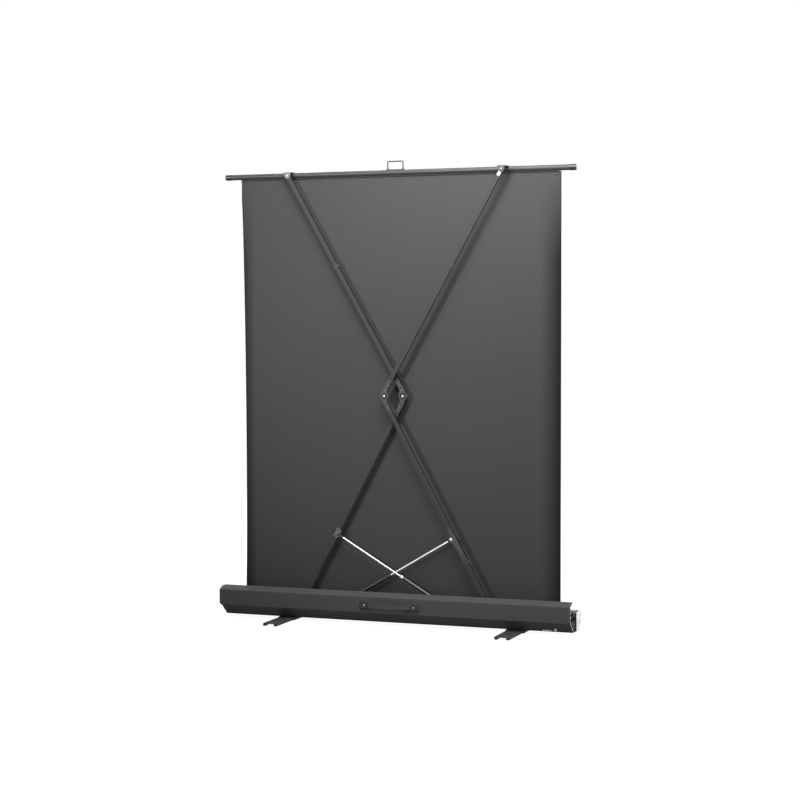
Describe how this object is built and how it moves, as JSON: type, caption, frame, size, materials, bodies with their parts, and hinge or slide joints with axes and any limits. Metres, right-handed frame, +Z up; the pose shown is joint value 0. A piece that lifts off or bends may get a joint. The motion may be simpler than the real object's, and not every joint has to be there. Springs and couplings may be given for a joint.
{
  "type": "portable projection screen",
  "caption": "Floor-standing pull-up projection screen: long low case on swivel feet, folding scissor legs with gas struts, top bar with wire pull handle, spring-rolled screen cloth.",
  "frame": {"origin": "on the floor below the middle of the case's length and depth, with the feet turned out", "axes": "+X along the case, to the right when the back of the screen is seen; +Y toward the audience, the side of the picture; +Z up"},
  "size_m": [1.6576, 0.446, 2.0525],
  "materials": {
    "case_paint": "dark grey satin paint on extruded aluminium",
    "divider_metal": "mill finish",
    "silver_plate": "pale silver paint",
    "black_plastic": "moulded, fine grain",
    "strap_plastic": "soft moulded",
    "bright_steel": "zinc plated",
    "arm_paint": "black satin paint",
    "strap_steel": "grey paint on pressed steel",
    "black_steel": "black semi-gloss paint",
    "chrome_rod": "hard chrome, polished",
    "black_rubber": "matt",
    "bar_paint": "dark grey satin paint",
    "wire_paint": "black paint on wire",
    "roller_steel": "rolled tube",
    "screen_cloth": "black coated back, matt white front with a black border",
    "strip_plastic": "extruded",
    "foot_paint": "dark grey satin paint on folded sheet"
  },
  "bodies": {
    "case": {"case_rear_shell": "case_paint", "case_front_shell": "case_paint", "case_divider": "divider_metal", "end_plate_left": "silver_plate", "end_plate_right": "silver_plate", "chamber_end_plugs": "black_plastic", "case_screws": "bright_steel", "lower_clip_plate": "silver_plate", "carry_handle_ends": "black_plastic", "carry_handle_strap": "strap_plastic", "floor_fork_brackets": "black_steel", "pivot_pins": "bright_steel", "foot_swivel_bolts": "bright_steel", "foot_washers": "black_plastic", "roller_axles": "bright_steel", "screen_fabric": "screen_cloth"},
    "left_lower_arm": {"left_lower_arm_tube": "arm_paint", "left_lower_arm_straps": "strap_steel", "left_lower_arm_rivets": "bright_steel", "left_elbow_pin": "bright_steel", "left_strut_bracket": "silver_plate"},
    "left_upper_arm": {"left_upper_arm_tube": "arm_paint", "left_upper_arm_straps": "strap_steel", "left_upper_arm_rivets": "bright_steel", "left_arm_bumper": "black_rubber"},
    "top_bar": {"top_bar_tube": "bar_paint", "top_bar_end_caps": "black_plastic", "fabric_clamp_strip": "strip_plastic", "left_top_bracket": "black_steel", "right_top_bracket": "black_steel", "top_pivot_screws": "bright_steel", "pull_handle_wire": "wire_paint", "pull_handle_clip": "black_plastic"},
    "right_lower_arm": {"right_lower_arm_tube": "arm_paint", "right_lower_arm_straps": "strap_steel", "right_lower_arm_rivets": "bright_steel", "right_elbow_pin": "bright_steel", "right_strut_bracket": "black_steel", "right_strut_bolt": "bright_steel", "right_lower_arm_bumper": "black_rubber"},
    "right_upper_arm": {"right_upper_arm_tube": "arm_paint", "right_upper_arm_straps": "strap_steel", "right_upper_arm_rivets": "bright_steel", "right_arm_bumper": "black_rubber"},
    "left_strut_cylinder": {"left_strut_cylinder": "black_steel", "left_strut_collar": "bright_steel"},
    "left_strut_rod": {"left_strut_rod": "chrome_rod", "left_strut_rod_end": "black_steel"},
    "right_strut_cylinder": {"right_strut_cylinder": "black_steel", "right_strut_collar": "bright_steel"},
    "right_strut_rod": {"right_strut_rod": "chrome_rod", "right_strut_rod_end": "black_steel"},
    "roller": {"roller_tube": "roller_steel", "wound_fabric": "screen_cloth", "roller_end_plugs": "black_plastic", "roller_spring": "roller_steel"},
    "left_foot": {"left_foot_channel": "foot_paint", "left_foot_pads": "black_rubber"},
    "right_foot": {"right_foot_channel": "foot_paint", "right_foot_pads": "black_rubber"}
  },
  "joints": [
    {"name": "leg_fold", "type": "hinge", "parent": "case", "child": "left_lower_arm", "pos_m": [-0.463, -0.0025, 0.0625], "axis": [0, 1, 0], "range_deg": [0, 60.41], "deforming": ["screen_fabric"]},
    {"name": "left_elbow", "type": "hinge", "parent": "left_lower_arm", "child": "left_upper_arm", "pos_m": [0.04, -0.0025, 1.01709], "axis": [0, -1, 0], "range_deg": [0, 119.51]},
    {"name": "left_top_pivot", "type": "hinge", "parent": "left_upper_arm", "child": "top_bar", "pos_m": [-0.507, -0.0025, 1.99786], "axis": [0, 1, 0], "range_deg": [0, 59.1]},
    {"name": "right_base", "type": "hinge", "parent": "case", "child": "right_lower_arm", "pos_m": [0.463, -0.021, 0.0625], "axis": [0, -1, 0], "range_deg": [0, 60.42]},
    {"name": "right_elbow", "type": "hinge", "parent": "right_lower_arm", "child": "right_upper_arm", "pos_m": [-0.04, -0.021, 1.01709], "axis": [0, 1, 0], "range_deg": [0, 119.51]},
    {"name": "left_strut_pivot", "type": "hinge", "parent": "case", "child": "left_strut_cylinder", "pos_m": [0.359, -0.0195, 0.0245], "axis": [0, -1, 0], "range_deg": [0, 26.46]},
    {"name": "left_strut_slide", "type": "slide", "parent": "left_strut_cylinder", "child": "left_strut_rod", "axis": [0.8617, 0, -0.5074], "range_m": [0, 0.28783]},
    {"name": "right_strut_pivot", "type": "hinge", "parent": "case", "child": "right_strut_cylinder", "pos_m": [-0.359, -0.001, 0.0245], "axis": [0, 1, 0], "range_deg": [0, 26.46]},
    {"name": "right_strut_slide", "type": "slide", "parent": "right_strut_cylinder", "child": "right_strut_rod", "axis": [-0.8617, 0, -0.5074], "range_m": [0, 0.28783]},
    {"name": "roller_spin", "type": "hinge", "parent": "case", "child": "roller", "pos_m": [0, 0.04725, 0.0525], "axis": [1, 0, 0], "range_deg": [0, 5191.94]},
    {"name": "left_foot_swivel", "type": "hinge", "parent": "case", "child": "left_foot", "pos_m": [-0.519, 0, 0.01], "axis": [0, 0, 1], "range_deg": [0, 90]},
    {"name": "right_foot_swivel", "type": "hinge", "parent": "case", "child": "right_foot", "pos_m": [0.563, 0, 0.01], "axis": [0, 0, 1], "range_deg": [-90, 0]}
  ],
  "couplings": [
    {"joint": "left_elbow", "follows": "leg_fold", "ratio": 1.978},
    {"joint": "left_top_pivot", "follows": "leg_fold", "ratio": 0.97802},
    {"joint": "right_base", "follows": "leg_fold", "ratio": 1},
    {"joint": "right_elbow", "follows": "leg_fold", "ratio": 1.978},
    {"joint": "left_strut_pivot", "follows": "leg_fold", "ratio": 0.43783},
    {"joint": "left_strut_slide", "follows": "leg_fold", "m_per_rad": 0.27288},
    {"joint": "right_strut_pivot", "follows": "leg_fold", "ratio": 0.43783},
    {"joint": "right_strut_slide", "follows": "leg_fold", "m_per_rad": 0.27288},
    {"joint": "roller_spin", "follows": "leg_fold", "ratio": 85.939}
  ]
}
